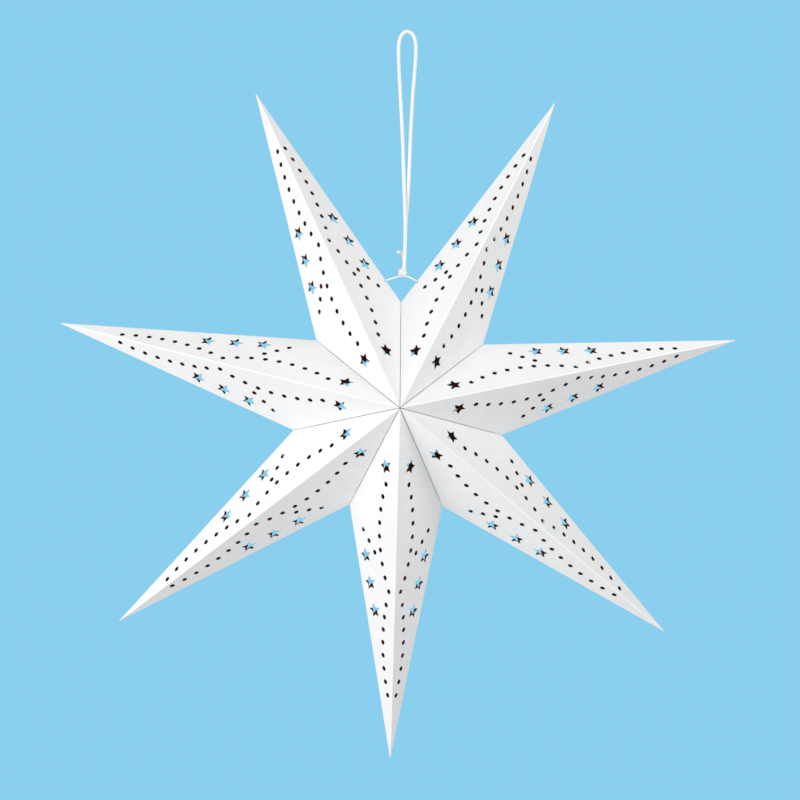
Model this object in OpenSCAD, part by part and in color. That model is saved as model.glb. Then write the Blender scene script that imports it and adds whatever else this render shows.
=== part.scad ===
/* [Star] */
// Distance from the middle of the star to the tip of an arm
tip_radius = 300; // [200:5:400]
// Distance from the middle of the star to the valley between two arms
valley_radius = 93; // [70:1:120]
// Height of the front and back peaks over the middle plane
peak_height = 66; // [40:1:90]

/* [Card] */
// Thickness of the card
card_t = 0.5; // [0.3:0.1:1]
// Width of the glue flaps turned in along the seams
flap_w = 9; // [5:1:11]
// Gap between the two arms that meet at a seam
seam_gap = 0.4; // [0.3:0.1:0.8]

/* [Perforation] */
// Diameter of the round punched holes
dot_d = 4.4; // [2:0.2:5]
// Distance from a punched star's middle to its points
star_r = 6.8; // [3:0.2:8]

/* [Hanger] */
// Diameter of the twisted cord of the hanging loop
cord_d = 3.2; // [2:0.1:4]
// Diameter of the thin cord that ties the first and last arm together
tie_d = 1.6; // [1:0.1:2]
// Diameter of the two stopper knots inside the arms
stopper_d = 4; // [3:0.2:4.4]

/* [Hidden] */
arm_count = 7;
half_step = 180 / arm_count;
$fn = 48;
overcut = 2;

// The hanging point is the origin, and the middle of the star hangs this far below it.
star_drop = 328;
// The first arm leans left of the open seam, and the others follow round to the last.
first_arm_angle = 90 + half_step;

// One arm in its own frame: +X runs out along the arm, -Y is the front, and +Z is its left side.
peak = [0, -peak_height, 0];
tip = [tip_radius, 0, 0];
valley = valley_radius * [cos(half_step), 0, sin(half_step)];

function unit(v) = v / norm(v);
function det3(a, b, c) = a * cross(b, c);
// The point where the planes n*p = d meet, one [n, d] pair for each plane
function meet(a, b, c) =
    (a[1] * cross(b[0], c[0]) + b[1] * cross(c[0], a[0]) + c[1] * cross(a[0], b[0]))
    / det3(a[0], b[0], c[0]);

// A panel's own axes: along the ridge crease, across the panel, and out of its face
ridge = unit(tip - peak);
face_normal = unit(cross(tip - peak, valley - peak));
across = cross(face_normal, ridge);

face_plane = [face_normal, face_normal * tip];
inner_plane = [face_normal, face_normal * tip - card_t];
ridge_plane = [[0, 0, 1], 0];
waist_plane = [[0, 1, 0], 0];
seam_normal = [-sin(half_step), 0, cos(half_step)];
seam_plane = [seam_normal, -seam_gap / 2];

// Arc of punched holes: hole count, crest along and across the panel, radius, first and last angle
near_arc = [9, 104.8, 21.2, 111, -20.1, 28.7];
far_arc = [8, 201.6, 13.4, 160, -11.1, 18];
// Row of three holes that branches from the near arc towards the valley
branch_start = [128.9, 26.5];
branch_step = [-8.1, 7.9];
branch_count = 3;
// The lone star near the peak, and the row of three beside the side crease
lone_star = [51.6, 15.3];
star_row_start = [134.8, 38.1];
star_row_step = [22.9, -6.6];
star_row_count = 3;
star_waist = 0.5;

// The tie passes through a hole on the side crease, this far out from the valley.
tie_hole_out = 22.5;
tie_hole_d = 3.6;
side_crease = unit(tip - valley);
tie_hole_axis = [-side_crease[2], 0, side_crease[0]];
tie_hole_at = valley + tie_hole_out * side_crease;

// Glue flap in the seam's plane: how far its corners stay from the ends of the seam
flap_peak_outer = 4;
flap_peak_inner = 16;
flap_valley_outer = 3;
flap_valley_inner = 18;

// Where the tie's line crosses the side creases of the first and last arm
tie_x = 13.3;
tie_z = -216.6;
tie_route = [
    [-18.2, 0, tie_z],
    [-tie_x, 0, tie_z],
    [-8, 0, -214.8],
    [-2, 0, -213],
    [2.2, 0, -212.4],
    [6, 0, -213.2],
    [10, 0, -215],
    [tie_x, 0, tie_z],
    [18.2, 0, tie_z]
];
stopper_gap = 0.4;
stopper_x = 18.2 + stopper_gap + stopper_d / 2;

// The loop goes up from the knot, over the hanging point and back down to the knot.
loop_route = [
    [2, -1.75, -207.5],
    [2.4, -1.75, -186],
    [2.2, -1.75, -168],
    [1, -1, -144],
    [-0.5, 0, -118],
    [-1.9, 0, -92],
    [-4.2, 0, -61],
    [-6.1, 0, -36],
    [-7.2, 0, -18],
    [-7, 0, -9],
    [-5, 0, -1.8],
    [-0.5, 0, 1.6],
    [4.5, 0, -0.6],
    [7.2, 0, -7],
    [8, 0, -16],
    [7.3, 0, -34],
    [6.2, 0, -53],
    [5.6, 0, -70],
    [5, 0, -92],
    [4.6, 0, -118],
    [3.9, 1, -144],
    [2.6, 1.75, -168],
    [2.4, 1.75, -186],
    [2, 1.75, -207.5]
];
rings_between_points = 3;
cord_sides = 8;

// The knot: two turns of the cord round its own strands, and the cord's cut end
knot_at = [0.6, 0, -209.3];
knot_turn_r = 2.1;
knot_turn_rise = 1.3;
knot_turn_tilt = 12;
tail_route = [
    [0.6, 2.2, -207.5],
    [1.8, 4.2, -203],
    [1.7, 4.6, -197],
    [-0.2, 3.4, -192.4],
    [-2.3, 1.5, -191],
    [-4.1, 0.3, -192.4]
];
tail_d = 0.8 * cord_d;

card_white = [0.96, 0.96, 0.95];
cord_white = [0.93, 0.92, 0.89];

ARMS = [for (i = [1 : arm_count]) i];
PANELS = ["front_left", "front_right", "back_left", "back_right"];
HANGER = ["hanging_loop", "loop_knot", "tie_cord", "tie_knot_left", "tie_knot_right"];

// ---- Perforated card arms ----

// Holes of one arc, evenly spaced round it
module arc_holes(arc) {
    step = (arc[5] - arc[4]) / (arc[0] - 1);
    for (i = [0 : arc[0] - 1]) {
        angle = arc[4] + i * step;
        translate([arc[1] + arc[3] * sin(angle), arc[2] - arc[3] * (1 - cos(angle))])
            circle(d = dot_d);
    }
}

// A five-pointed star that points across the panel
module star_hole() {
    polygon([for (i = [0 : 9])
        star_r * (i % 2 == 0 ? 1 : star_waist) * [-sin(36 * i), cos(36 * i)]]);
}

// The whole pattern of one panel, in the panel's own plane
module perforation() {
    arc_holes(near_arc);
    arc_holes(far_arc);
    for (i = [0 : branch_count - 1])
        translate(branch_start + i * branch_step)
            circle(d = dot_d);
    translate(lone_star)
        star_hole();
    for (i = [0 : star_row_count - 1])
        translate(star_row_start + i * star_row_step)
            star_hole();
}

// Moves a flat drawing onto the front left panel, with its origin at the peak
module onto_panel() {
    multmatrix([for (i = [0 : 2]) [ridge[i], across[i], face_normal[i], peak[i]]])
        children();
}

// The panel between the ridge crease, the side crease and the seam, mitred to its neighbours
module plain_panel() {
    corners = [for (p = [face_plane, inner_plane]) each [
        meet(p, ridge_plane, seam_plane),
        meet(p, ridge_plane, waist_plane),
        meet(p, seam_plane, waist_plane)
    ]];
    polyhedron(
        points = corners,
        faces = [[0, 2, 1], [3, 4, 5], [0, 1, 4, 3], [1, 2, 5, 4], [2, 0, 3, 5]]
    );
}

// The glue flap, turned in along the seam's plane
module flap() {
    seam_length = norm([valley_radius, peak_height]);
    rotate([0, -half_step, 0])
        translate([0, 0, -seam_gap / 2 - card_t])
            mirror([0, 1, 0])
                linear_extrude(card_t)
                    translate([0, peak_height])
                        rotate(-atan2(peak_height, valley_radius))
                            polygon([
                                [flap_peak_outer, 0],
                                [flap_peak_inner, -flap_w],
                                [seam_length - flap_valley_inner, -flap_w],
                                [seam_length - flap_valley_outer, 0]
                            ]);
}

// The front left panel of an arm, in the arm's own frame
module left_front_panel(tied) {
    difference() {
        union() {
            plain_panel();
            flap();
        }
        onto_panel()
            linear_extrude(2 * overcut, center = true)
                perforation();
        if (tied)
            translate(tie_hole_at)
                multmatrix([
                    [side_crease[0], 0, tie_hole_axis[0], 0],
                    [side_crease[1], 1, tie_hole_axis[1], 0],
                    [side_crease[2], 0, tie_hole_axis[2], 0]
                ])
                    cylinder(d = tie_hole_d, h = 4 * tie_hole_d, center = true);
    }
}

// One panel of one arm, in its place on the star
module arm_panel(arm, panel) {
    is_right = panel == "front_right" || panel == "back_right";
    is_back = panel == "back_left" || panel == "back_right";
    tied = (arm == 1 && is_right) || (arm == arm_count && !is_right);
    color(card_white)
        translate([0, 0, -star_drop])
            rotate([0, -first_arm_angle - (arm - 1) * 2 * half_step, 0])
                mirror([0, 0, is_right ? 1 : 0])
                    mirror([0, is_back ? 1 : 0, 0])
                        left_front_panel(tied);
}

// ---- Cords ----

// Catmull-Rom curve through the points, with the end tangents taken from the end pieces
function curve_point(a, b, c, d, t) =
    0.5 * (2 * b + (c - a) * t + (2 * a - 5 * b + 4 * c - d) * t * t
    + (3 * b - a - 3 * c + d) * t * t * t);
function curve(pts, steps) = [
    for (i = [0 : len(pts) - 2])
        for (j = [0 : (i == len(pts) - 2 ? steps : steps - 1)])
            curve_point(
                i == 0 ? 2 * pts[0] - pts[1] : pts[i - 1],
                pts[i],
                pts[i + 1],
                i == len(pts) - 2 ? 2 * pts[i + 1] - pts[i] : pts[i + 2],
                j / steps
            )
];
function direction(path, i) = unit(path[min(i + 1, len(path) - 1)] - path[max(i - 1, 0)]);
// Every route here stays near the XZ plane, so Y is never along it.
function ring(at, along, r) =
    let (side = unit(cross([0, 1, 0], along)), up = cross(along, side))
        [for (k = [0 : cord_sides - 1])
            at + r * (cos(360 * k / cord_sides) * side + sin(360 * k / cord_sides) * up)];

// A round cord along a route, closed at both ends
module cord(route, d, steps = rings_between_points) {
    path = curve(route, steps);
    n = len(path);
    points = [for (i = [0 : n - 1]) each ring(path[i], direction(path, i), d / 2)];
    walls = [for (i = [0 : n - 2]) for (k = [0 : cord_sides - 1])
        let (next = (k + 1) % cord_sides)
            [i * cord_sides + next, i * cord_sides + k,
             (i + 1) * cord_sides + k, (i + 1) * cord_sides + next]];
    first_end = [for (k = [0 : cord_sides - 1]) k];
    last_end = [for (k = [cord_sides - 1 : -1 : 0]) (n - 1) * cord_sides + k];
    polyhedron(points = points, faces = concat(walls, [first_end, last_end]));
}

module hanging_loop() {
    color(cord_white)
        cord(loop_route, cord_d);
}

module knot_turn() {
    rotate_extrude()
        translate([knot_turn_r, 0])
            circle(d = cord_d);
}

module loop_knot() {
    color(cord_white) {
        for (side = [-1, 1])
            translate(knot_at + [0, 0, side * knot_turn_rise])
                rotate([side * knot_turn_tilt, 0, 0])
                    knot_turn();
        cord(tail_route, tail_d, 2);
    }
}

module tie_cord() {
    color(cord_white)
        cord(tie_route, tie_d, 2);
}

module tie_knot(side) {
    color(cord_white)
        translate([side * stopper_x, 0, tie_z])
            sphere(d = stopper_d);
}

for (i = ARMS)
    for (p = PANELS)
        arm_panel(i, p);
hanging_loop();
loop_knot();
tie_cord();
tie_knot(-1);  // tie_knot_left
tie_knot(1);  // tie_knot_right
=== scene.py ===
"""Folded card star with punched holes, hanging on a loop of twisted cord.

Every piece is made in metres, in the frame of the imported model. The card arms are perforated with one
Geometry Nodes tree and the cords are laid up from their plies with another.
"""
import sys
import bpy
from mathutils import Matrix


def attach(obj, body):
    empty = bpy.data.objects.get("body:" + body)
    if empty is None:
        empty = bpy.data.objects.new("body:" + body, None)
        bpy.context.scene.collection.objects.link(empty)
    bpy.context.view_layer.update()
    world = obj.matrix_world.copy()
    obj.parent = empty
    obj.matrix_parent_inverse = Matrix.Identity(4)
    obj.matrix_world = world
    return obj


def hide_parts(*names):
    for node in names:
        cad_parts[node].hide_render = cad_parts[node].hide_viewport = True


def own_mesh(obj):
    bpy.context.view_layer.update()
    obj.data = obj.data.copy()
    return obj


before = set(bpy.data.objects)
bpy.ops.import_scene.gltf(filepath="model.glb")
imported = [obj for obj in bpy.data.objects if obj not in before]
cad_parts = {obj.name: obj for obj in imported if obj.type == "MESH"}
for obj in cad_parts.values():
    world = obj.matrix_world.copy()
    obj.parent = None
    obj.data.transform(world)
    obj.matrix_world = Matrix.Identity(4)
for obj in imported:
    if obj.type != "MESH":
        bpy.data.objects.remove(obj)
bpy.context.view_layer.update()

import logging
import math
from dataclasses import dataclass, field
from enum import Enum
from typing import Sequence

import bmesh
import bpy
from mathutils import Euler, Matrix, Vector, noise

LOG = logging.getLogger("star")
MM = 0.001
FULL_TURN = 2 * math.pi

ARM_COUNT = 7
HALF_STEP = math.pi / ARM_COUNT
STAR_MIDDLE = Vector((0.0, 0.0, -0.328))
FIRST_ARM_ANGLE = math.pi / 2 + HALF_STEP
BUBBLE_SCALE = 27

Route = list[Vector]


class Slot(Enum):
    """Names of the material slots; nothing in this script gives a piece a slot."""

    CARD = "card"
    CORD = "cord"
    TIE = "tie"


class Side(Enum):
    """Which side crease of an arm the tie passes through."""

    NONE = 0
    LEFT = 1
    RIGHT = -1


# ---- Routes and small geometry ----


def in_metres(points: Sequence[Sequence[float]]) -> Route:
    """Turns points in millimetres into vectors in metres.

    Args:
        points: the points, in millimetres.

    Returns:
        The same points in metres.
    """
    return [Vector(p) * MM for p in points]


def smooth_route(points: Route, steps: int) -> Route:
    """Runs a Catmull-Rom curve through a route's points.

    Args:
        points: the points that the curve passes through.
        steps: how many parts each stretch between two points gets.

    Returns:
        The points of the curve.
    """
    ends = [2 * points[0] - points[1], *points, 2 * points[-1] - points[-2]]
    curve = []
    for a, b, c, d in zip(ends, ends[1:], ends[2:], ends[3:]):
        for k in range(steps):
            t = k / steps
            curve.append(0.5 * (2 * b + (c - a) * t + (2 * a - 5 * b + 4 * c - d) * t**2
                                + (3 * b - a - 3 * c + d) * t**3))
    return [*curve, points[-1].copy()]


def meeting_point(*planes: tuple[Vector, float]) -> Vector:
    """Finds where three planes meet.

    Args:
        planes: three planes, each a normal and its distance from the origin.

    Returns:
        The point on all three planes.
    """
    rows = Matrix([normal for normal, _ in planes])
    return rows.inverted() @ Vector([distance for _, distance in planes])


# ---- Node trees ----


class GeometryTree:
    """One Geometry Nodes tree with named inputs, and the helpers that wire it."""

    def __init__(self, name: str) -> None:
        """Starts an empty tree.

        Args:
            name: the tree's name.
        """
        self.tree = bpy.data.node_groups.new(name, "GeometryNodeTree")
        self.tree.is_modifier = True
        self.source = self.tree.nodes.new("NodeGroupInput")
        self.sink = self.tree.nodes.new("NodeGroupOutput")
        self.tree.interface.new_socket("Geometry", in_out="OUTPUT", socket_type="NodeSocketGeometry")

    def add_input(self, name: str, kind: str, default: object = None) -> bpy.types.NodeSocket:
        """Adds a named input to the tree.

        Args:
            name: the input's name.
            kind: the socket type after "NodeSocket", such as "Float".
            default: the value that it starts with, where it has one.

        Returns:
            The socket inside the tree that gives the input's value.
        """
        item = self.tree.interface.new_socket(name, in_out="INPUT", socket_type=f"NodeSocket{kind}")
        if default is not None:
            item.default_value = default
        return self.source.outputs[name]

    def node(self, kind: str, settings: dict[str, object] | None = None,
             **inputs: object) -> bpy.types.Node:
        """Adds a node, sets its options, and fills or links its inputs.

        Args:
            kind: the node's type.
            settings: options of the node, by their property names.
            inputs: inputs by name, with underscores for spaces; a socket is linked, and anything
                else is set. An input named i0, i1 and so on goes by its place.

        Returns:
            The node.
        """
        made = self.tree.nodes.new(kind)
        for key, value in (settings or {}).items():
            setattr(made, key, value)
        for key, value in inputs.items():
            place = int(key[1:]) if key[0] == "i" and key[1:].isdigit() else None
            socket = made.inputs[place] if place is not None else made.inputs[key.replace("_", " ")]
            for one in value if isinstance(value, list) else [value]:
                if isinstance(one, bpy.types.NodeSocket):
                    self.tree.links.new(one, socket)
                else:
                    socket.default_value = one
        return made

    def math(self, operation: str, *values: object) -> bpy.types.NodeSocket:
        """Adds a Math node, and returns its result."""
        return self.node("ShaderNodeMath", {"operation": operation},
                         **{f"i{k}": value for k, value in enumerate(values)}).outputs[0]

    def scaled(self, vector: bpy.types.NodeSocket, scale: object) -> bpy.types.NodeSocket:
        """Adds a node that scales a vector, and returns the result."""
        return self.node("ShaderNodeVectorMath", {"operation": "SCALE"},
                         i0=vector, Scale=scale).outputs[0]

    def added(self, a: object, b: object) -> bpy.types.NodeSocket:
        """Adds a node that adds two vectors, and returns the result."""
        return self.node("ShaderNodeVectorMath", {"operation": "ADD"}, i0=a, i1=b).outputs[0]

    def joined(self, *parts: bpy.types.NodeSocket) -> bpy.types.NodeSocket:
        """Adds a node that joins geometries, and returns the result."""
        return self.node("GeometryNodeJoinGeometry", Geometry=list(parts)).outputs[0]

    def finish(self, geometry: bpy.types.NodeSocket) -> bpy.types.NodeTree:
        """Links the tree's output.

        Args:
            geometry: what the tree gives.

        Returns:
            The finished tree.
        """
        self.tree.links.new(geometry, self.sink.inputs["Geometry"])
        return self.tree


def run_tree(tree: bpy.types.NodeTree, source: bpy.types.Object, name: str,
             **values: object) -> bpy.types.Object:
    """Runs a tree on an object, and gives the result as a plain mesh object.

    Args:
        tree: the Geometry Nodes tree.
        source: the object that the tree starts from; it is removed afterwards.
        name: the new object's name.
        values: the tree's inputs by name, with underscores for spaces.

    Returns:
        A mesh object at the origin, with no modifier.
    """
    modifier = source.modifiers.new("nodes", "NODES")
    modifier.node_group = tree
    identifiers = {item.name: item.identifier for item in tree.interface.items_tree
                   if item.item_type == "SOCKET" and item.in_out == "INPUT"}
    for key, value in values.items():
        modifier[identifiers[key.replace("_", " ")]] = value
    graph = bpy.context.evaluated_depsgraph_get()
    mesh = bpy.data.meshes.new_from_object(source.evaluated_get(graph), depsgraph=graph)
    mesh.name = name
    source.modifiers.remove(modifier)
    bpy.data.objects.remove(source)
    made = bpy.data.objects.new(name, mesh)
    bpy.context.scene.collection.objects.link(made)
    return made


def arc_of_points() -> bpy.types.NodeTree:
    """Makes the tree that spaces points evenly round an arc of the panel.

    Returns:
        The tree, with the inputs Count, Crest, Radius, First Angle and Last Angle.
    """
    g = GeometryTree("arc_of_points")
    count = g.add_input("Count", "Int", 2)
    crest = g.add_input("Crest", "Vector")
    radius = g.add_input("Radius", "Float")
    first = g.add_input("First Angle", "Float")
    last = g.add_input("Last Angle", "Float")
    place = g.node("GeometryNodeInputIndex").outputs[0]
    share = g.math("DIVIDE", place, g.math("SUBTRACT", count, 1.0))
    angle = g.math("ADD", first, g.math("MULTIPLY", share, g.math("SUBTRACT", last, first)))
    out = g.math("MULTIPLY", radius, g.math("SINE", angle))
    drop = g.math("MULTIPLY", radius, g.math("SUBTRACT", g.math("COSINE", angle), 1.0))
    offset = g.node("ShaderNodeCombineXYZ", X=out, Y=drop).outputs[0]
    points = g.node("GeometryNodePoints", Count=count).outputs[0]
    return g.finish(g.node("GeometryNodeSetPosition", Geometry=points,
                           Position=g.added(crest, offset)).outputs[0])


def row_of_points() -> bpy.types.NodeTree:
    """Makes the tree that sets points in a straight row.

    Returns:
        The tree, with the inputs Count, Start and Step.
    """
    g = GeometryTree("row_of_points")
    count = g.add_input("Count", "Int", 1)
    start = g.add_input("Start", "Vector")
    step = g.add_input("Step", "Vector")
    place = g.node("GeometryNodeInputIndex").outputs[0]
    points = g.node("GeometryNodePoints", Count=count).outputs[0]
    return g.finish(g.node("GeometryNodeSetPosition", Geometry=points,
                           Position=g.added(start, g.scaled(step, place))).outputs[0])


# ---- Finishes ----


class Shader:
    """One procedural material and the helpers that wire it."""

    def __init__(self, name: str, roughness: float) -> None:
        """Starts a material with one Principled shader.

        Args:
            name: the material's name.
            roughness: the shader's roughness.
        """
        self.material = bpy.data.materials.new(name)
        self.material.use_nodes = True
        self.tree = self.material.node_tree
        self.surface = self.tree.nodes["Principled BSDF"]
        self.surface.inputs["Roughness"].default_value = roughness
        self.place = self.tree.nodes.new("ShaderNodeTexCoord").outputs["Object"]

    def link(self, a: bpy.types.NodeSocket, b: bpy.types.NodeSocket) -> None:
        """Links two sockets."""
        self.tree.links.new(a, b)

    def noise(self, scale: float, detail: float, stretch: Sequence[float] = (1, 1, 1),
              place: bpy.types.NodeSocket | None = None) -> bpy.types.NodeSocket:
        """Adds a noise pattern.

        Args:
            scale: how many features there are in a metre.
            detail: how many finer layers it has.
            stretch: the scale along each axis.
            place: the coordinates, where they aren't the object's own.

        Returns:
            The noise, from 0 to 1.
        """
        mapping = self.tree.nodes.new("ShaderNodeMapping")
        mapping.inputs["Scale"].default_value = stretch
        self.link(place or self.place, mapping.inputs["Vector"])
        pattern = self.tree.nodes.new("ShaderNodeTexNoise")
        pattern.inputs["Scale"].default_value = scale
        pattern.inputs["Detail"].default_value = detail
        self.link(mapping.outputs[0], pattern.inputs["Vector"])
        return pattern.outputs["Fac"]

    def spread(self, value: bpy.types.NodeSocket, low: float, high: float,
               to_low: float = 0.0, to_high: float = 1.0) -> bpy.types.NodeSocket:
        """Maps a value from one range to another.

        Args:
            value: the value.
            low: the value that becomes to_low.
            high: the value that becomes to_high.
            to_low: the new range's start.
            to_high: the new range's end.

        Returns:
            The mapped value.
        """
        ranged = self.tree.nodes.new("ShaderNodeMapRange")
        for key, number in zip(("From Min", "From Max", "To Min", "To Max"),
                               (low, high, to_low, to_high)):
            ranged.inputs[key].default_value = number
        self.link(value, ranged.inputs["Value"])
        return ranged.outputs["Result"]

    def attribute(self, name: str) -> bpy.types.NodeSocket:
        """Adds a node that reads a value stored on the mesh, and returns the value."""
        reader = self.tree.nodes.new("ShaderNodeAttribute")
        reader.attribute_name = name
        return reader.outputs["Fac"]

    def blend(self, share: bpy.types.NodeSocket, a: object, b: object) -> bpy.types.NodeSocket:
        """Mixes two colours, and returns the mix."""
        mix = self.tree.nodes.new("ShaderNodeMix")
        mix.data_type = "RGBA"
        self.link(share, mix.inputs["Factor"])
        for socket, colour in ((mix.inputs[6], a), (mix.inputs[7], b)):
            if isinstance(colour, bpy.types.NodeSocket):
                self.link(colour, socket)
            else:
                socket.default_value = (*colour, 1.0)
        return mix.outputs[2]

    def bump(self, *layers: tuple[bpy.types.NodeSocket, float]) -> None:
        """Stacks bump layers on the surface.

        Args:
            layers: pairs of a height pattern and its full height in metres.
        """
        last = None
        for height, distance in layers:
            made = self.tree.nodes.new("ShaderNodeBump")
            made.inputs["Strength"].default_value = 1.0
            made.inputs["Distance"].default_value = distance
            self.link(height, made.inputs["Height"])
            if last is not None:
                self.link(last, made.inputs["Normal"])
            last = made.outputs["Normal"]
        self.link(last, self.surface.inputs["Normal"])


@dataclass(frozen=True)
class CardFinish:
    """Matt white card: pressed fibre, faint mottling, and a painted highlight along the folds."""

    name: str = "white_card"
    pulp: tuple[float, float, float] = (0.87, 0.87, 0.865)
    pale: tuple[float, float, float] = (0.94, 0.94, 0.94)
    # fold: the colour of the painted highlight along the folds
    fold: tuple[float, float, float] = (0.97, 0.97, 0.97)
    roughness: float = 0.62
    cloud_scale: float = 55.0
    fibre_scale: float = 1400.0
    tooth_scale: float = 5200.0
    fibre_height: float = 0.00002
    tooth_height: float = 0.000006

    def make(self) -> bpy.types.Material:
        """Makes the material, and returns it."""
        s = Shader(self.name, self.roughness)
        s.surface.inputs["Specular IOR Level"].default_value = 0.35
        s.surface.inputs["Sheen Weight"].default_value = 0.08
        s.surface.inputs["Sheen Roughness"].default_value = 0.5
        cloud = s.spread(s.noise(self.cloud_scale, 3.0), 0.3, 0.7)
        fibre = s.noise(self.fibre_scale, 4.0, (1.0, 0.7, 0.35))
        speck = s.spread(fibre, 0.35, 0.62)
        tone = s.blend(cloud, self.pulp, self.pale)
        fine = s.blend(speck, tone, self.pale)
        # The "fold" attribute lightens the card towards a painted highlight along the folds.
        s.link(s.blend(s.attribute("fold"), fine, self.fold), s.surface.inputs["Base Color"])
        s.link(s.spread(fibre, 0.3, 0.7, self.roughness - 0.06, self.roughness + 0.1),
               s.surface.inputs["Roughness"])
        tooth = s.noise(self.tooth_scale, 2.0)
        s.bump((fibre, self.fibre_height), (tooth, self.tooth_height))
        return s.material


@dataclass(frozen=True)
class PaintedInsideShade:
    """Dark reddish brown on the card's inner face: painted shade for the unlit inside of the star."""

    name: str = "inside_painted_shade"
    # dark and light: the two tones of the painted shade on the inner face
    dark: tuple[float, float, float] = (0.32, 0.075, 0.012)
    light: tuple[float, float, float] = (0.44, 0.12, 0.022)
    roughness: float = 0.85
    fibre_scale: float = 900.0
    fibre_height: float = 0.00003

    def make(self) -> bpy.types.Material:
        """Makes the material, and returns it."""
        s = Shader(self.name, self.roughness)
        fibre = s.noise(self.fibre_scale, 5.0, (0.4, 1.0, 0.7))
        s.link(s.blend(s.spread(fibre, 0.35, 0.65), self.dark, self.light),
               s.surface.inputs["Base Color"])
        s.link(s.spread(fibre, 0.3, 0.7, self.roughness - 0.1, self.roughness + 0.1),
               s.surface.inputs["Roughness"])
        s.bump((fibre, self.fibre_height))
        return s.material


@dataclass(frozen=True)
class CordFinish:
    """Soft white cotton yarn: fine fibres that run along each ply, some of them a little greyer."""

    name: str = "cotton_cord"
    between: tuple[float, float, float] = (0.86, 0.85, 0.83)
    fibre: tuple[float, float, float] = (0.98, 0.98, 0.97)
    roughness: float = 0.9
    fibre_scale: float = 2600.0
    fuzz_scale: float = 7000.0
    fibre_height: float = 0.00006
    fuzz_height: float = 0.00002

    def make(self) -> bpy.types.Material:
        """Makes the material, and returns it."""
        s = Shader(self.name, self.roughness)
        s.surface.inputs["Sheen Weight"].default_value = 0.35
        s.surface.inputs["Sheen Roughness"].default_value = 0.4
        s.surface.inputs["Specular IOR Level"].default_value = 0.2
        yarn = s.tree.nodes.new("ShaderNodeCombineXYZ")
        s.link(s.attribute("yarn_along"), yarn.inputs["X"])
        s.link(s.attribute("yarn_round"), yarn.inputs["Y"])
        fibre = s.noise(self.fibre_scale, 3.0, (0.25, 1.0, 1.0), yarn.outputs[0])
        fuzz = s.noise(self.fuzz_scale, 2.0)
        s.link(s.blend(s.spread(fibre, 0.3, 0.6), self.between, self.fibre),
               s.surface.inputs["Base Color"])
        s.link(s.spread(fuzz, 0.3, 0.7, self.roughness - 0.08, self.roughness + 0.08),
               s.surface.inputs["Roughness"])
        s.bump((fibre, self.fibre_height), (fuzz, self.fuzz_height))
        return s.material


# ---- The folded card arms ----


@dataclass(frozen=True)
class Perforation:
    """The pattern punched in each panel, measured along the ridge and across the panel."""

    dot_radius: float = 2.2 * MM
    star_radius: float = 6.8 * MM
    star_waist: float = 0.5
    near_arc: tuple[float, ...] = (9, 104.8, 21.2, 111, -20.1, 28.7)
    far_arc: tuple[float, ...] = (8, 201.6, 13.4, 160, -11.1, 18)
    branch_start: tuple[float, float] = (128.9, 26.5)
    branch_step: tuple[float, float] = (-8.1, 7.9)
    branch_count: int = 3
    lone_star: tuple[float, float] = (51.6, 15.3)
    star_row_start: tuple[float, float] = (134.8, 38.1)
    star_row_step: tuple[float, float] = (22.9, -6.6)
    star_row_count: int = 3
    star_points: int = 5
    dot_sides: int = 22
    tie_hole_sides: int = 28
    punch_reach: float = 1.6 * MM

    def arc_inputs(self, name: str, arc: tuple[float, ...]) -> dict[str, object]:
        """Gives an arc's values for the tree.

        Args:
            name: the start of the inputs' names.
            arc: hole count, crest along and across, radius, first and last angle.

        Returns:
            The tree's inputs, by name.
        """
        return {
            f"{name}_Count": int(arc[0]),
            f"{name}_Crest": flat_vector(arc[1:3]),
            f"{name}_Radius": arc[3] * MM,
            f"{name}_First_Angle": math.radians(arc[4]),
            f"{name}_Last_Angle": math.radians(arc[5]),
        }

    def inputs(self) -> dict[str, object]:
        """Gives the whole pattern's values for the tree, by name."""
        return {
            **self.arc_inputs("Near", self.near_arc),
            **self.arc_inputs("Far", self.far_arc),
            "Branch_Count": self.branch_count,
            "Branch_Start": flat_vector(self.branch_start),
            "Branch_Step": flat_vector(self.branch_step),
            "Star_Count": self.star_row_count,
            "Star_Start": flat_vector(self.star_row_start),
            "Star_Step": flat_vector(self.star_row_step),
            "Lone_Star": flat_vector(self.lone_star),
            "Dot_Radius": self.dot_radius,
            "Star_Radius": self.star_radius,
            "Star_Waist": self.star_radius * self.star_waist,
            "Punch_Depth": 2 * self.punch_reach,
            "Star_Points": self.star_points,
            "Dot_Sides": self.dot_sides,
            "Tie_Hole_Sides": self.tie_hole_sides,
        }


def flat_vector(pair: Sequence[float]) -> list[float]:
    """Turns a pair in millimetres into a vector in the panel's plane, in metres."""
    return [pair[0] * MM, pair[1] * MM, 0.0]


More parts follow.
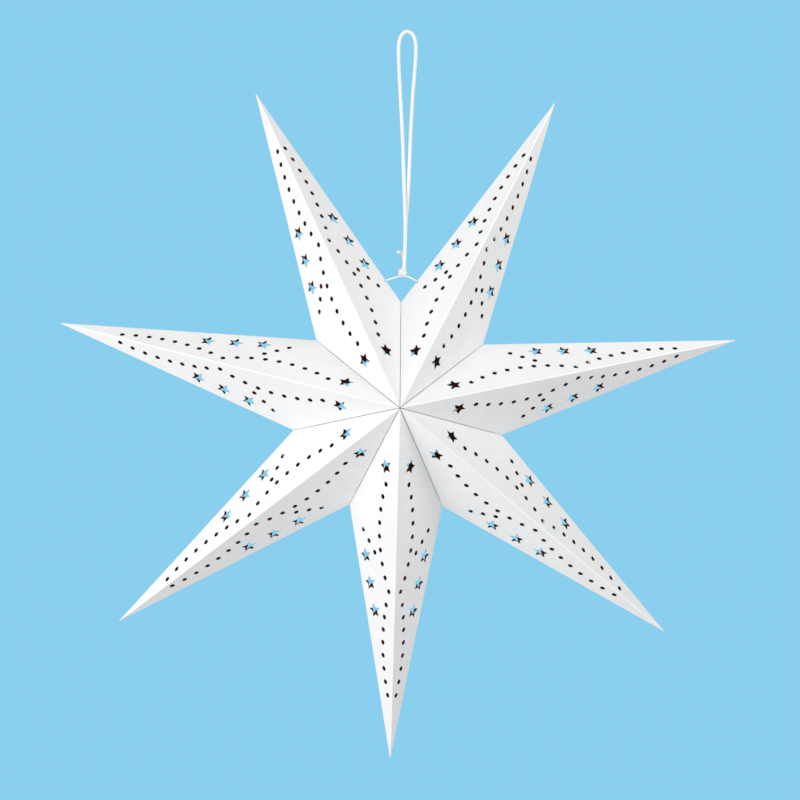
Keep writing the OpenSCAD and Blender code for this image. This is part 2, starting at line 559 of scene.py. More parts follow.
def punching_tree() -> bpy.types.NodeTree:
    """Makes the tree that punches one arm's sheet.

    The pattern is set out for the front left panel, mirrored to the other three, and cut away.

    Returns:
        The tree, with the pattern's sizes, the panel's place, the tie's hole, the card's finish and the
        inner face's painted shade as inputs.
    """
    g = GeometryTree("punched_card")
    sheet = g.add_input("Geometry", "Geometry")
    arc, row = arc_of_points(), row_of_points()

    def run_arc(name: str) -> bpy.types.NodeSocket:
        """Adds an arc of points with its own inputs, and returns the points."""
        made = g.node("GeometryNodeGroup", {"node_tree": arc})
        for key, kind in (("Count", "Int"), ("Crest", "Vector"), ("Radius", "Float"),
                          ("First Angle", "Float"), ("Last Angle", "Float")):
            g.tree.links.new(g.add_input(f"{name} {key}", kind), made.inputs[key])
        return made.outputs[0]

    def run_row(name: str) -> bpy.types.NodeSocket:
        """Adds a row of points with its own inputs, and returns the points."""
        made = g.node("GeometryNodeGroup", {"node_tree": row})
        for key, kind in (("Count", "Int"), ("Start", "Vector"), ("Step", "Vector")):
            g.tree.links.new(g.add_input(f"{name} {key}", kind), made.inputs[key])
        return made.outputs[0]

    depth = g.add_input("Punch Depth", "Float")
    dot = g.node("GeometryNodeMeshCylinder", Vertices=g.add_input("Dot Sides", "Int"),
                 Radius=g.add_input("Dot Radius", "Float"), Depth=depth).outputs["Mesh"]
    dots = g.node("GeometryNodeInstanceOnPoints", Points=g.joined(run_arc("Near"), run_arc("Far"),
                                                                run_row("Branch")),
                  Instance=dot).outputs[0]

    outline = g.node("GeometryNodeCurveStar", Points=g.add_input("Star Points", "Int"),
                     Outer_Radius=g.add_input("Star Radius", "Float"),
                     Inner_Radius=g.add_input("Star Waist", "Float")).outputs[0]
    face = g.node("GeometryNodeFillCurve", {"mode": "NGONS"}, Curve=outline).outputs[0]
    lift = g.node("ShaderNodeCombineXYZ", Z=g.math("MULTIPLY", depth, -0.5)).outputs[0]
    low = g.node("GeometryNodeTransform", Geometry=face, Translation=lift).outputs[0]
    top = g.node("GeometryNodeExtrudeMesh", Mesh=low,
                 Offset=g.node("ShaderNodeCombineXYZ", Z=depth).outputs[0],
                 Individual=False).outputs["Mesh"]
    floor = g.node("GeometryNodeFlipFaces", Mesh=low).outputs[0]
    prism = g.node("GeometryNodeMergeByDistance", Geometry=g.joined(top, floor),
                   Distance=1e-6).outputs[0]
    upright = g.node("GeometryNodeTransform", Geometry=prism,
                     Rotation=Euler((0, 0, math.pi / 2))).outputs[0]
    lone = g.node("GeometryNodePoints", Count=1,
                  Position=g.add_input("Lone Star", "Vector")).outputs[0]
    stars = g.node("GeometryNodeInstanceOnPoints", Points=g.joined(run_row("Star"), lone),
                   Instance=upright).outputs[0]

    flat = g.node("GeometryNodeRealizeInstances", Geometry=g.joined(dots, stars)).outputs[0]
    quarter = g.node("GeometryNodeTransform", Geometry=flat,
                     Translation=g.add_input("Panel Origin", "Vector"),
                     Rotation=g.add_input("Panel Turn", "Rotation")).outputs[0]
    punches = quarter
    for mirror in ((1, 1, -1), (1, -1, 1)):
        other = g.node("GeometryNodeTransform", Geometry=punches, Scale=mirror).outputs[0]
        punches = g.joined(punches, g.node("GeometryNodeFlipFaces", Mesh=other).outputs[0])

    bore = g.node("GeometryNodeMeshCylinder", Vertices=g.add_input("Tie Hole Sides", "Int"),
                  Radius=g.add_input("Tie Hole Radius", "Float"),
                  Depth=g.add_input("Tie Hole Depth", "Float")).outputs["Mesh"]
    placed = g.node("GeometryNodeTransform", Geometry=bore,
                    Translation=g.add_input("Tie Hole At", "Vector"),
                    Rotation=g.add_input("Tie Hole Turn", "Rotation")).outputs[0]
    tied = g.node("GeometryNodeSwitch", {"input_type": "GEOMETRY"},
                  i0=g.add_input("Tied", "Bool", False), i2=placed).outputs[0]
    card = g.add_input("Card", "Material")
    edges = g.node("GeometryNodeSetMaterial", Geometry=g.joined(punches, tied),
                   Material=card).outputs[0]
    cut = g.node("GeometryNodeMeshBoolean", {"operation": "DIFFERENCE", "solver": "MANIFOLD"},
                 Mesh_1=sheet, Mesh_2=edges).outputs["Mesh"]
    whole = g.node("GeometryNodeRealizeInstances", Geometry=cut).outputs[0]
    white = g.node("GeometryNodeSetMaterial", Geometry=whole, Material=card).outputs[0]
    # The inner faces get the dark brown painted shade.
    inner = g.node("GeometryNodeInputNamedAttribute", {"data_type": "BOOLEAN"}, Name="inside")
    return g.finish(g.node("GeometryNodeSetMaterial", Geometry=white, Selection=inner.outputs[0],
                           Material=g.add_input("Inside", "Material")).outputs[0])


@dataclass
class Layer:
    """One face of the sheet, outer or inner.

    It has its corners, its blunt end, its folds' radius, and how far the glued flap leans over.
    """

    peak: Vector
    valley: Vector
    tip: Vector
    end: Vector
    fold_radius: float
    lean: float


@dataclass
class CardArm:
    """One arm of the star: a sheet of card folded on four creases, with flaps along its seams."""

    number: int
    tied_side: Side = Side.NONE
    tip_radius: float = 300 * MM
    tip_bluntness: float = 3 * MM
    valley_radius: float = 93 * MM
    peak_height: float = 66 * MM
    card_t: float = 0.5 * MM
    seam_gap: float = 0.4 * MM
    fold_radius: float = 1.0 * MM
    flap_w: float = 9 * MM
    flap_gap: float = 0.02 * MM
    least_flap: float = 0.06 * MM
    flap_peak: tuple[float, float] = (4 * MM, 16 * MM)
    flap_valley: tuple[float, float] = (3 * MM, 18 * MM)
    tie_hole_out: float = 22.5 * MM
    tie_hole_radius: float = 1.8 * MM
    tie_hole_reach: float = 8.0
    sharp_angle: float = 32.0
    merge_distance: float = 0.002 * MM
    bow: float = 0.35 * MM
    keep_when_flat: float = 0.035
    fold_steps: int = 4
    flap_steps: int = 3
    along_steps: int = 26
    across_steps: int = 9
    row_crowding: float = 0.9
    end_clearance: float = 1.15
    fold_limit: float = 0.3
    perforation: Perforation = field(default_factory=Perforation)

    def __post_init__(self) -> None:
        """Works out the arm's corners, planes and directions, in its own frame."""
        self.peak = Vector((0, -self.peak_height, 0))
        self.tip = Vector((self.tip_radius + self.tip_bluntness, 0, 0))
        self.valley = self.valley_radius * Vector((math.cos(HALF_STEP), 0, math.sin(HALF_STEP)))
        self.ridge = (self.tip - self.peak).normalized()
        self.normal = (self.tip - self.peak).cross(self.valley - self.peak).normalized()
        self.across = self.normal.cross(self.ridge)
        self.seam_normal = Vector((-math.sin(HALF_STEP), 0, math.cos(HALF_STEP)))

    def layer(self, depth: float) -> Layer:
        """Gives the face of the sheet at a depth under its outer face.

        Args:
            depth: the depth in metres.

        Returns:
            The face's corners and fold radius.
        """
        face = (self.normal, self.normal.dot(self.tip) - depth)
        ridge = (Vector((0, 0, 1)), 0.0)
        waist = (Vector((0, 1, 0)), 0.0)
        seam = (self.seam_normal, -self.seam_gap / 2 - depth)
        tip = meeting_point(face, ridge, waist)
        return Layer(meeting_point(face, ridge, seam), meeting_point(face, waist, seam), tip,
                     Vector((min(self.tip_radius, tip.x), 0, 0)), self.fold_radius - depth,
                     (self.seam_gap - self.flap_gap) / 2)

    def world(self) -> Matrix:
        """Gives the matrix from the arm's own frame to its place on the star."""
        angle = FIRST_ARM_ANGLE + (self.number - 1) * 2 * HALF_STEP
        return Matrix.Translation(STAR_MIDDLE) @ Matrix.Rotation(-angle, 4, "Y")

    def tangent(self) -> Vector:
        """Gives the direction across the arm on the star, along which it flattens."""
        return (self.world().to_3x3() @ Vector((0, 0, 1))).normalized()

    def bend(self, distance: float, half_angle: float, radius: float) -> tuple[float, float]:
        """Gives how far a rounded fold moves a point off the sharp one.

        Args:
            distance: how far the point is from the crease, on the flat panel.
            half_angle: half of the angle that the fold turns through.
            radius: the fold's radius.

        Returns:
            The move along the panel away from the crease, in the fold's mirror plane frame, and
            the move out of it, both in metres.
        """
        reach = radius * math.tan(half_angle)
        if distance >= reach:
            return 0.0, 0.0
        turn = half_angle * distance / reach
        side = radius * math.sin(turn) - distance * math.cos(half_angle)
        rise = radius * (math.cos(turn) - 1 / math.cos(half_angle)) + distance * math.sin(half_angle)
        return side, rise

    def bulge(self, s: float, share: float, seed: float) -> Vector:
        """Gives how far the card bows out of its panel's plane at one point.

        Args:
            s: the share of the way from the seam to the tip.
            share: the share of the way from the ridge to the side crease.
            seed: where the panel's bow is read from the noise.

        Returns:
            The move, nothing on the panel's edges and most in its middle.
        """
        wide = max(1 - s, 1e-9)
        bubble = BUBBLE_SCALE * s * share * wide * (1 - share) * wide
        whole = noise.noise(Vector((seed, 0.3, 0.7))) * 1.4
        wave = 0.6 * noise.noise(Vector((s * 3, share * 2, seed)))
        return self.normal * self.bow * bubble * (whole + wave)

    def grid(self, layer: Layer, signs: tuple[int, int], seed: float) -> list[list[Vector]]:
        """Sets out one quarter of one face of the sheet.

        Args:
            layer: the face.
            signs: which side of the two mirror planes the quarter is on, front or back and left
                or right.
            seed: where this panel's bow is read from the noise.

        Returns:
            Rows of points from the ridge to the side crease, from the flap's free edge to the tip.
        """
        along, span = layer.tip - layer.peak, layer.valley - layer.peak
        ridge_dir, side_dir = along.normalized(), (layer.tip - layer.valley).normalized()
        seam_dir = span.normalized()
        to_tip = along - along.dot(seam_dir) * seam_dir
        seam_reach = to_tip.length
        inward = seam_dir.cross(self.seam_normal)
        inward = inward if inward.dot(-layer.peak - layer.valley) > 0 else -inward
        ridge_out = Vector((ridge_dir.y, -ridge_dir.x, 0))
        side_out = Vector((side_dir.z, 0, -side_dir.x))
        side_out = side_out if side_out.dot(layer.valley) > 0 else -side_out
        h_valley = (span - span.dot(ridge_dir) * ridge_dir).length
        h_peak = (-span - (-span).dot(side_dir) * side_dir).length
        ridge_turn = self.normal.angle(ridge_out)
        side_turn = self.normal.angle(side_out)
        seam_turn = (-to_tip).angle(inward) / 2
        seam_out = (self.normal + self.seam_normal).normalized()
        seam_side = seam_out.cross(seam_dir)
        seam_side = seam_side if seam_side.dot(to_tip) > 0 else -seam_side
        flap_fold = layer.fold_radius * math.tan(seam_turn)

        fold_shares = [k / self.fold_steps for k in range(self.fold_steps + 1)]
        seam_stops = [share * flap_fold / seam_reach for share in fold_shares]
        first = seam_stops[-1]
        stops = seam_stops + [first + (1 - first) * (k / self.along_steps) ** self.row_crowding
                              for k in range(1, self.along_steps)]
        stops.append(1 - self.end_clearance * self.tip_bluntness / self.tip_radius)
        length = span.length
        flap_marks = [self.flap_peak[0] / length, self.flap_peak[1] / length,
                      1 - self.flap_valley[1] / length, 1 - self.flap_valley[0] / length]
        even = [flap_marks[1] + (flap_marks[2] - flap_marks[1]) * k / self.across_steps
                for k in range(1, self.across_steps)]
        middle = sorted([*flap_marks, *even])

        def flap_width(share: float) -> float:
            """Gives the flap's width at a share of the seam's length."""
            rise = (share - flap_marks[0]) / (flap_marks[1] - flap_marks[0])
            fall = (flap_marks[3] - share) / (flap_marks[3] - flap_marks[2])
            return max(self.least_flap, self.flap_w * min(1.0, rise, fall))

        def point(s: float, column: int, flap: float) -> Vector:
            """Gives one point of the face.

            Args:
                s: the share of the way from the seam to the tip.
                column: the column, from the ridge crease to the side crease.
                flap: the share of the flap's width, or 0 on the panel.

            Returns:
                The point in the arm's frame, on the front left quarter.
            """
            wide = max(1 - s, 1e-9)
            limit = self.fold_limit * wide
            ridge_r = min(layer.fold_radius, limit * h_valley / math.tan(ridge_turn))
            side_r = min(layer.fold_radius, limit * h_peak / math.tan(side_turn))
            from_ridge = ridge_r * math.tan(ridge_turn) / (wide * h_valley)
            to_side = 1 - side_r * math.tan(side_turn) / (wide * h_peak)
            n, last = self.fold_steps, self.fold_steps + len(middle)
            if column <= n:
                share = from_ridge * column / n
            elif column <= last:
                share = from_ridge + (to_side - from_ridge) * middle[column - n - 1]
            else:
                share = to_side + (1 - to_side) * (column - last - 1) / n
            base = layer.peak + s * along + share * wide * span
            q_ridge, q_side = share * wide * h_valley, (1 - share) * wide * h_peak
            side, rise = self.bend(q_ridge, ridge_turn, ridge_r)
            place = base + side * Vector((0, 0, 1)) + rise * ridge_out
            side, rise = self.bend(q_side, side_turn, side_r)
            place += side * Vector((0, -1, 0)) + rise * side_out
            if flap > 0:
                width = flap * flap_width(share)
                side, rise = self.bend(width, seam_turn, layer.fold_radius)
                return place + width * inward - side * seam_side + rise * seam_out \
                    + self.seam_normal * layer.lean * width / self.flap_w
            side, rise = self.bend(s * seam_reach, seam_turn, layer.fold_radius)
            place += side * seam_side + rise * seam_out
            return place + self.bulge(s, share, seed)

        columns = 2 * self.fold_steps + len(middle) + 2
        rows = []
        for column in range(columns):
            row = [point(0.0, column, share) for share in self.flap_shares(flap_fold)]
            row += [point(s, column, 0.0) for s in stops] + [layer.end]
            front = 0.0 if column == columns - 1 else 1.0
            left = 0.0 if column == 0 else 1.0
            rows.append([Vector((p.x, front * signs[0] * min(p.y, 0.0),
                                 left * signs[1] * max(p.z, 0.0))) for p in row])
        return rows

    def flap_shares(self, fold: float) -> list[float]:
        """Gives where the flap's rows stand, from its free edge to its fold.

        Args:
            fold: how far the rounded fold reaches onto the flap.

        Returns:
            Shares of the flap's width, the free edge first.
        """
        flat = [1 - k * (1 - fold / self.flap_w) / self.flap_steps for k in range(self.flap_steps)]
        bent = [fold / self.flap_w * (1 - k / self.fold_steps) for k in range(self.fold_steps)]
        return flat + bent

    def highlight_fold_mask(self, columns: int, rows: int, flap_rows: int) -> list[list[float]]:
        """Marks how near each point is to a fold, for the painted highlight along the folds.

        Args:
            columns: how many columns the grid has.
            rows: how many points a column has.
            flap_rows: how many of them are on the flap.

        Returns:
            Values from 0, clear of the folds, to 1, on one.
        """
        n = self.fold_steps
        mask = []
        for column in range(columns):
            cross = max(0.0, 1 - column / n, 1 - (columns - 1 - column) / n)
            mask.append([max(cross, max(0.0, 1 - abs(row - flap_rows) / n)) for row in range(rows)])
        return mask

    def sheet(self, *finishes: bpy.types.Material) -> bpy.types.Object:
        """Builds the folded sheet before it is punched.

        Args:
            finishes: the materials that the sheet carries.

        Returns:
            A closed mesh in the arm's own frame, with the folds and the inside marked.
        """
        mesh = bmesh.new()
        # The "fold" values mask the painted highlight along the folds.
        fold = mesh.verts.layers.float.new("fold")
        inside = mesh.faces.layers.bool.new("inside")
        for index, signs in enumerate(((1, 1), (1, -1), (-1, 1), (-1, -1))):
            seed = self.number * 4.7 + index * 1.3
            grids = [self.grid(self.layer(depth), signs, seed) for depth in (0.0, self.card_t)]
            flap_rows = len(self.flap_shares(0.001))
            mask = self.highlight_fold_mask(len(grids[0]), len(grids[0][0]), flap_rows)
            verts = []
            for grid in grids:
                verts.append([[mesh.verts.new(p) for p in row] for row in grid])
            for made in verts:
                for row, values in zip(made, mask):
                    for vert, value in zip(row, values):
                        vert[fold] = value
            outward = signs[0] * signs[1]
            for depth, made in enumerate(verts):
                for a, b in zip(made, made[1:]):
                    for k in range(len(a) - 1):
                        corners = [a[k], a[k + 1], b[k + 1], b[k]]
                        if outward * (1 if depth == 0 else -1) < 0:
                            corners.reverse()
                        mesh.faces.new(corners)[inside] = depth == 1
            for a, b, c, d in zip(verts[0], verts[0][1:], verts[1], verts[1][1:]):
                corners = [a[0], b[0], d[0], c[0]]
                if outward < 0:
                    corners.reverse()
                mesh.faces.new(corners)
        bmesh.ops.remove_doubles(mesh, verts=mesh.verts, dist=self.merge_distance)
        bmesh.ops.recalc_face_normals(mesh, faces=mesh.faces)
        data = bpy.data.meshes.new("sheet")
        mesh.to_mesh(data)
        mesh.free()
        for finish in finishes:
            data.materials.append(finish)
        made = bpy.data.objects.new("sheet", data)
        bpy.context.scene.collection.objects.link(made)
        return made

    def tie_hole(self) -> dict[str, object]:
        """Gives the tie hole's values for the tree, by name."""
        crease = (self.tip - self.valley).normalized()
        at = self.valley + self.tie_hole_out * crease
        axis = Vector((-crease.z, 0, crease.x))
        at.z *= self.tied_side.value or 1
        axis.z *= self.tied_side.value or 1
        return {
            "Tied": self.tied_side is not Side.NONE,
            "Tie_Hole_At": list(at),
            "Tie_Hole_Turn": list(axis.to_track_quat("Z", "Y").to_euler()),
            "Tie_Hole_Radius": self.tie_hole_radius,
            "Tie_Hole_Depth": self.tie_hole_reach * self.tie_hole_radius,
        }

    def build(self, tree: bpy.types.NodeTree, card: bpy.types.Material,
              inside: bpy.types.Material) -> bpy.types.Object:
        """Builds, punches and places the arm, and sets it to follow its body.

        Args:
            tree: the tree that punches the sheet.
            card: the finish of the sheet's outer face and cut edges.
            inside: the material of its inner face, which is dark brown painted shade.

        Returns:
            The finished piece.
        """
        turn = Matrix((self.ridge, self.across, self.normal)).transposed().to_euler()
        made = run_tree(tree, self.sheet(card, inside), f"card_arm_{self.number}",
                        Panel_Origin=list(self.peak), Panel_Turn=list(turn), Card=card,
                        Inside=inside, **self.perforation.inputs(), **self.tie_hole())
        made.data.transform(self.world())
        made.data.shade_smooth()
        made.data.set_sharp_from_angle(angle=math.radians(self.sharp_angle))
        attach(made, f"arm_{self.number}")
        tuple(self.tangent())
        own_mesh(made)
        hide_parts(*[f"arm_{self.number}_{face}_{side}"
                            for face in ("front", "back") for side in ("left", "right")])
        return made


# ---- Cords ----


def plies_tree() -> bpy.types.NodeTree:
    """Makes the tree that lays a cord up from plies twisted round its route.

    Returns:
        The tree, with the inputs Ply Count, Ply Radius, Lay Radius, Pitch, Sides, Spacing and
        Finish.
    """
    g = GeometryTree("laid_plies")
    route = g.add_input("Geometry", "Geometry")
    count = g.add_input("Ply Count", "Int", 3)
    radius = g.add_input("Ply Radius", "Float")
    lay = g.add_input("Lay Radius", "Float")
    pitch = g.add_input("Pitch", "Float")
    sides = g.add_input("Sides", "Int", 8)
    spacing = g.add_input("Spacing", "Float")
    even = g.node("GeometryNodeResampleCurve", {"mode": "LENGTH"}, Curve=route,
                  Length=spacing).outputs[0]
    copies = g.node("GeometryNodeDuplicateElements", {"domain": "SPLINE"}, Geometry=even,
                    Amount=count)
    along = g.node("GeometryNodeSplineParameter").outputs["Length"]
    normal = g.node("GeometryNodeInputNormal").outputs[0]
    tangent = g.node("GeometryNodeInputTangent").outputs[0]
    binormal = g.node("ShaderNodeVectorMath", {"operation": "CROSS_PRODUCT"}, i0=tangent,
                      i1=normal).outputs[0]
    turns = g.math("ADD", g.math("DIVIDE", along, pitch),
                   g.math("DIVIDE", copies.outputs[1], count))
    angle = g.math("MULTIPLY", turns, FULL_TURN)
    offset = g.added(g.scaled(normal, g.math("COSINE", angle)),
                     g.scaled(binormal, g.math("SINE", angle)))
    marked = g.node("GeometryNodeStoreNamedAttribute", {"data_type": "FLOAT", "domain": "POINT"},
                    Geometry=copies.outputs[0], Name="yarn_along", Value=along).outputs[0]
    twisted = g.node("GeometryNodeSetPosition", Geometry=marked,
                     Offset=g.scaled(offset, lay)).outputs[0]
    ring = g.node("GeometryNodeCurvePrimitiveCircle", Resolution=sides, Radius=radius).outputs[0]
    around = g.node("GeometryNodeStoreNamedAttribute", {"data_type": "FLOAT", "domain": "POINT"},
                    Geometry=ring, Name="yarn_round",
                    Value=g.node("GeometryNodeSplineParameter").outputs["Length"]).outputs[0]
    tube = g.node("GeometryNodeCurveToMesh", Curve=twisted, Profile_Curve=around,
                  Fill_Caps=True).outputs[0]
    whole = g.node("GeometryNodeRealizeInstances", Geometry=tube).outputs[0]
    return g.finish(g.node("GeometryNodeSetMaterial", Geometry=whole,
                           Material=g.add_input("Finish", "Material")).outputs[0])


@dataclass(frozen=True)
class Lay:
    """How a cord is made up: its diameter, its plies and the length of one turn of them."""

    diameter: float
    plies: int
    pitch: float
    sides: int = 10
    spacing: float = 0.5 * MM
    fullness: float = 0.96

    def inputs(self) -> dict[str, object]:
        """Gives the lay's values for the tree, by name."""
        half = self.diameter / 2
        share = math.sin(math.pi / self.plies)
        ply = half * share / (1 + share) * self.fullness
        return {
            "Ply_Count": self.plies,
            "Ply_Radius": ply,
            "Lay_Radius": half - ply,
            "Pitch": self.pitch,
            "Sides": self.sides,
            "Spacing": self.spacing,
        }


def laid_cord(name: str, route: Route, lay: Lay, tree: bpy.types.NodeTree,
              finish: bpy.types.Material) -> bpy.types.Object:
    """Makes one cord along a route.

    Args:
        name: the new object's name.
        route: the points that the cord follows, close together.
        lay: how the cord is made up.
        tree: the tree that lays up the plies.
        finish: the cord's material.

    Returns:
        The cord as a mesh object.
    """
    curve = bpy.data.curves.new(name, "CURVE")
    curve.dimensions = "3D"
    spline = curve.splines.new("POLY")
    spline.points.add(len(route) - 1)
    for point, place in zip(spline.points, route):
        point.co = (*place, 1.0)
    source = bpy.data.objects.new(f"{name}_route", curve)
    bpy.context.scene.collection.objects.link(source)
    made = run_tree(tree, source, name, Finish=finish, **lay.inputs())
    made.data.shade_smooth()
    return made


def joined_pieces(name: str, pieces: list[bpy.types.Object]) -> bpy.types.Object:
    """Joins mesh objects into one.

    Args:
        name: the joined object's name.
        pieces: the objects, which are removed.

    Returns:
        The joined object.
    """
    mesh = bmesh.new()
    for piece in pieces:
        mesh.from_mesh(piece.data)
    data = bpy.data.meshes.new(name)
    mesh.to_mesh(data)
    mesh.free()
    for material in pieces[0].data.materials:
        data.materials.append(material)
    for piece in pieces:
        bpy.data.objects.remove(piece)
    data.shade_smooth()
    made = bpy.data.objects.new(name, data)
    bpy.context.scene.collection.objects.link(made)
    return made


def trefoil(middle: float, swing: float, height: float,
            steps: int) -> list[tuple[float, float, float]]:
    """Sets out a closed three-lobed knot.

    Args:
        middle: the knot's middle radius.
        swing: how far the radius swings out and in from it.
        height: how far the cord rises and drops.
        steps: how many parts the knot gets.

    Returns:
        For each point, its turn in radians, its radius and its rise.
    """
    turns = [FULL_TURN * k / steps for k in range(steps + 1)]
    return [(t, middle + swing * math.cos(3 * t), height * math.sin(3 * t)) for t in turns]


@dataclass
class Hanger:
    """The loop of cord, its knot, the tie and the two stopper knots, in millimetres."""

    loop_lay: Lay = Lay(diameter=3.3 * MM, plies=3, pitch=6.3 * MM)
    knot_lay: Lay = Lay(diameter=3.1 * MM, plies=3, pitch=6.3 * MM, spacing=0.35 * MM)
    tail_lay: Lay = Lay(diameter=2.6 * MM, plies=3, pitch=7.5 * MM, spacing=0.35 * MM)
    tie_lay: Lay = Lay(diameter=1.6 * MM, plies=3, pitch=4.6 * MM, sides=8, spacing=0.3 * MM)
    knot_at: tuple[float, float, float] = (0.6, 0, -209.3)
    knot_turns: tuple[float, float, float, int] = (1.95, 0.8, 1.5, 96)
    stopper_turns: tuple[float, float, float, int] = (0.95, 0.4, 0.85, 72)
    stopper_x: float = 20.6
    tie_z: float = -216.6
    loop_points: tuple[tuple[float, float, float], ...] = (
        (2, -1.75, -207.5), (2.4, -1.75, -186), (2.2, -1.75, -168), (1, -1, -144),
        (-0.5, 0, -118), (-1.9, 0, -92), (-4.2, 0, -61), (-6.1, 0, -36), (-7.2, 0, -18),
        (-7, 0, -9), (-5, 0, -1.8), (-0.5, 0, 1.6), (4.5, 0, -0.6), (7.2, 0, -7), (8, 0, -16),
        (7.3, 0, -34), (6.2, 0, -53), (5.6, 0, -70), (5, 0, -92), (4.6, 0, -118), (3.9, 1, -144),
        (2.6, 1.75, -168), (2.4, 1.75, -186), (2, 1.75, -207.5))
    tail_points: tuple[tuple[float, float, float], ...] = (
        (0.6, 2.2, -207.5), (1.8, 4.2, -203), (1.7, 4.6, -197), (-0.2, 3.4, -192.4),
        (-2.3, 1.5, -191), (-4.1, 0.3, -192.4))
    tie_points: tuple[tuple[float, float, float], ...] = (
        (-18.2, 0, -216.6), (-13.3, 0, -216.6), (-8, 0, -214.8), (-2, 0, -213), (2.2, 0, -212.4),
        (6, 0, -213.2), (10, 0, -215), (13.3, 0, -216.6), (18.2, 0, -216.6))

    def knot_route(self) -> Route:
        """Gives the closed over-and-under route of the cord in its knot."""
        return in_metres([(self.knot_at[0] + reach * math.cos(2 * t),
                           self.knot_at[1] + reach * math.sin(2 * t), self.knot_at[2] + rise)
                          for t, reach, rise in trefoil(*self.knot_turns)])

    def stopper_route(self, side: int) -> Route:
        """Gives the closed route of the thin cord in a stopper knot.

        Args:
            side: -1 for the left knot, 1 for the right one.

        Returns:
            The route's points.
        """
        return in_metres([(side * self.stopper_x + rise, reach * math.cos(2 * t),
                           self.tie_z + reach * math.sin(2 * t))
                          for t, reach, rise in trefoil(*self.stopper_turns)])

    def build_loop(self, tree: bpy.types.NodeTree, finish: bpy.types.Material) -> bpy.types.Object:
        """Args:
            tree: the tree that lays up the plies.
            finish: the cord's material.

        Returns:
            The loop.
        """
        route = smooth_route(in_metres(self.loop_points), 12)
        loop = laid_cord("cord_loop", route, self.loop_lay, tree, finish)
        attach(loop, "hanger")
        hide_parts("hanging_loop")
        return loop

    def build_tie(self, tree: bpy.types.NodeTree, finish: bpy.types.Material) -> bpy.types.Object:
        """Args:
            tree: the tree that lays up the plies.
            finish: the cord's material.

        Returns:
            The tie.
        """
        route = smooth_route(in_metres(self.tie_points), 10)
        tie = laid_cord("arm_tie", route, self.tie_lay, tree, finish)
        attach(tie, "hanger")
        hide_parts("tie_cord")
        return tie

    def build_knot(self, tree: bpy.types.NodeTree, finish: bpy.types.Material) -> bpy.types.Object:
        """Makes the knot with the cord's cut end poking out of it.

        Args:
            tree: the tree that lays up the plies.
            finish: the cord's material.

        Returns:
            The knot.
        """
        turns = laid_cord("knot_turns", self.knot_route(), self.knot_lay, tree, finish)
        tail_route = smooth_route(in_metres(self.tail_points), 10)
        tail = laid_cord("knot_tail", tail_route, self.tail_lay, tree, finish)
        knot = joined_pieces("cord_knot", [turns, tail])
        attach(knot, "hanger")
        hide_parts("loop_knot")
        return knot

    def build_stopper(self, side: int, tree: bpy.types.NodeTree,
                      finish: bpy.types.Material) -> bpy.types.Object:
        """Makes one stopper knot of the tie.

        Args:
            side: -1 for the left knot, 1 for the right one.
            tree: the tree that lays up the plies.
            finish: the cord's material.

        Returns:
            The knot.
        """
        word = "left" if side < 0 else "right"
        knot = laid_cord(f"stopper_{word}", self.stopper_route(side), self.tie_lay, tree, finish)
        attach(knot, "stopper_knots")
        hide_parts(f"tie_knot_{word}")
        return knot


# ---- Camera, light and floor ----


@dataclass(frozen=True)
class SoftLight:
    """One soft area light that looks at the star's middle."""

    name: str
    place: tuple[float, float, float]
    size: float
    watts: float
    colour: tuple[float, float, float] = (1.0, 1.0, 1.0)

    def build(self) -> None:
        """Makes the light."""
        data = bpy.data.lights.new(self.name, "AREA")
        data.shape = "DISK"
        data.size = self.size
        data.energy = self.watts
        data.color = self.colour
        lamp = bpy.data.objects.new(self.name, data)
        bpy.context.scene.collection.objects.link(lamp)
        lamp.visible_camera = False
        lamp.location = STAR_MIDDLE + Vector(self.place)
        lamp.rotation_euler = (STAR_MIDDLE - lamp.location).to_track_quat("-Z", "Y").to_euler()


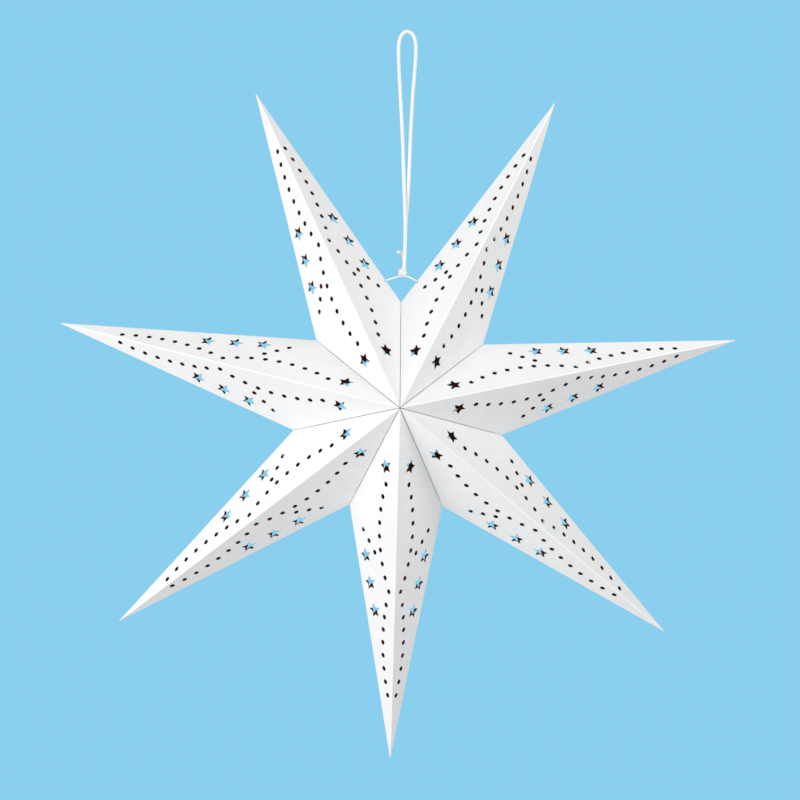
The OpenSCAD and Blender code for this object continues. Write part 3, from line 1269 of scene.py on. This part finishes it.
@dataclass
class Studio:
    """The camera, the soft light, the plain backdrop colour and the pale floor."""

    distance: float = 0.85
    azimuth: float = 1.15
    elevation: float = -1.2
    roll: float = 1.35
    aim: tuple[float, float, float] = (0.0012, 0.0, 0.0077)
    sensor: float = 36.0
    lens: float = 44.14
    backdrop: tuple[float, float, float] = (0.254, 0.624, 0.855)
    ambient: tuple[float, float, float] = (0.98, 0.99, 1.0)
    ambient_strength: float = 0.49
    floor_z: float = -1.65
    floor_radius: float = 1.1
    floor_ring: int = 96
    lights: tuple[SoftLight, ...] = (
        SoftLight("key_light", (-1.33, -1.71, 0.38), 1.2, 15.5),
        SoftLight("left_light", (-0.95, -0.55, -0.05), 0.6, 2.6),
        SoftLight("top_light", (0.7, -0.6, 0.6), 0.6, 3.5, (1.0, 0.99, 0.96)),
        SoftLight("low_light", (0.0, -1.8, -1.26), 1.2, 5.5, (0.86, 0.93, 1.0)),
    )

    def build_camera(self) -> None:
        """Makes the camera at the chosen viewing angle."""
        az, el, roll = (math.radians(a) for a in (self.azimuth, self.elevation, self.roll))
        ahead = Vector((math.sin(az) * math.cos(el), math.cos(az) * math.cos(el), -math.sin(el)))
        right = Vector((math.cos(az), -math.sin(az), 0))
        up = right.cross(ahead)
        leaned_right = right * math.cos(roll) + up * math.sin(roll)
        leaned_up = up * math.cos(roll) - right * math.sin(roll)
        data = bpy.data.cameras.new("camera")
        data.sensor_width = self.sensor
        data.lens = self.lens
        data.clip_end = 50.0
        camera = bpy.data.objects.new("camera", data)
        bpy.context.scene.collection.objects.link(camera)
        turned = Matrix((leaned_right, leaned_up, -ahead)).transposed().to_4x4()
        place = STAR_MIDDLE + Vector(self.aim) - ahead * self.distance
        camera.matrix_world = Matrix.Translation(place) @ turned
        bpy.context.scene.camera = camera

    def build_world(self) -> None:
        """Makes the surroundings: a plain colour behind the star and soft white light round it."""
        world = bpy.data.worlds.new("studio")
        bpy.context.scene.world = world
        world.use_nodes = True
        nodes, links = world.node_tree.nodes, world.node_tree.links
        nodes.clear()
        seen = nodes.new("ShaderNodeBackground")
        seen.inputs["Color"].default_value = (*self.backdrop, 1.0)
        lit = nodes.new("ShaderNodeBackground")
        lit.inputs["Color"].default_value = (*self.ambient, 1.0)
        lit.inputs["Strength"].default_value = self.ambient_strength
        path = nodes.new("ShaderNodeLightPath")
        mix = nodes.new("ShaderNodeMixShader")
        links.new(path.outputs["Is Camera Ray"], mix.inputs[0])
        links.new(lit.outputs[0], mix.inputs[1])
        links.new(seen.outputs[0], mix.inputs[2])
        links.new(mix.outputs[0], nodes.new("ShaderNodeOutputWorld").inputs[0])

    def build_floor(self) -> None:
        """Makes the pale floor under the star."""
        mesh = bmesh.new()
        bmesh.ops.create_circle(mesh, cap_ends=True, segments=self.floor_ring,
                                radius=self.floor_radius)
        bmesh.ops.translate(mesh, verts=mesh.verts, vec=(0, 0, self.floor_z))
        data = bpy.data.meshes.new("floor")
        mesh.to_mesh(data)
        mesh.free()
        paint = Shader("pale_floor", 0.8)
        tone = paint.spread(paint.noise(6.0, 2.0), 0.3, 0.7)
        paint.link(paint.blend(tone, (0.8, 0.81, 0.82), (0.84, 0.85, 0.86)),
                   paint.surface.inputs["Base Color"])
        data.materials.append(paint.material)
        floor = bpy.data.objects.new("floor", data)
        bpy.context.scene.collection.objects.link(floor)

    def build(self) -> None:
        """Makes the whole studio."""
        bpy.context.scene.view_settings.view_transform = "Standard"
        self.build_camera()
        self.build_world()
        self.build_floor()
        for light in self.lights:
            light.build()


def report(piece: bpy.types.Object) -> None:
    """Logs a piece's name and size."""
    LOG.info("%s: %d faces", piece.name, len(piece.data.polygons))


def main() -> None:
    """Builds the studio, the cords and the arms."""
    logging.basicConfig(level=logging.INFO, format="%(name)s %(message)s", stream=sys.stdout)
    Studio().build()
    tree, cotton, hanger = plies_tree(), CordFinish().make(), Hanger()
    report(hanger.build_loop(tree, cotton))
    report(hanger.build_tie(tree, cotton))
    report(hanger.build_knot(tree, cotton))
    for side in (-1, 1):
        report(hanger.build_stopper(side, tree, cotton))
    punch, card, inside = punching_tree(), CardFinish().make(), PaintedInsideShade().make()
    tied = {1: Side.RIGHT, ARM_COUNT: Side.LEFT}
    for number in range(1, ARM_COUNT + 1):
        report(CardArm(number, tied.get(number, Side.NONE)).build(punch, card, inside))


if __name__ == "__main__":
    main()
